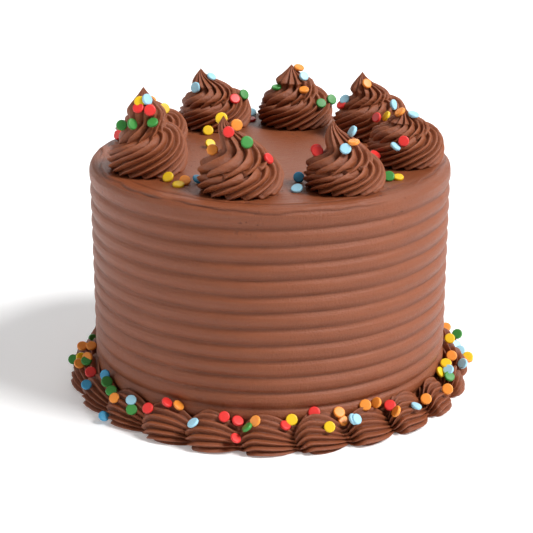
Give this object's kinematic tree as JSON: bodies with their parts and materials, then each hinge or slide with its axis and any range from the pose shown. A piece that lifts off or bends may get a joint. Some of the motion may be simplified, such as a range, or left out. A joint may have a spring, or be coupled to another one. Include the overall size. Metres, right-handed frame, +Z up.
{
  "type": "layer cake",
  "caption": "Tall round layer cake in chocolate buttercream, with a combed side, piped swirls on top, a shell border at the foot and round sprinkles.",
  "frame": {"origin": "centre of the cake's flat underside", "axes": "+Z up along the cake's axis, -Y towards the side that the picture shows, +X to its right"},
  "size_m": [0.2257, 0.2266, 0.1693],
  "materials": {
    "icing": "soft matt milk chocolate buttercream with a faint sheen",
    "sprinkles": "smooth matt sugar in red, orange, yellow, green and blue"
  },
  "bodies": {
    "root": {"cake": "icing", "rosette_1": "icing", "rosette_2": "icing", "rosette_3": "icing", "rosette_4": "icing", "rosette_5": "icing", "rosette_6": "icing", "rosette_7": "icing", "rosette_8": "icing", "shell_01": "icing", "shell_02": "icing", "shell_03": "icing", "shell_04": "icing", "shell_05": "icing", "shell_06": "icing", "shell_07": "icing", "shell_08": "icing", "shell_09": "icing", "shell_10": "icing", "shell_11": "icing", "shell_12": "icing", "shell_13": "icing", "shell_14": "icing", "shell_15": "icing", "shell_16": "icing", "shell_17": "icing", "shell_18": "icing", "shell_19": "icing", "shell_20": "icing", "shell_21": "icing", "shell_22": "icing", "shell_23": "icing", "shell_24": "icing"}
  },
  "joints": []
}
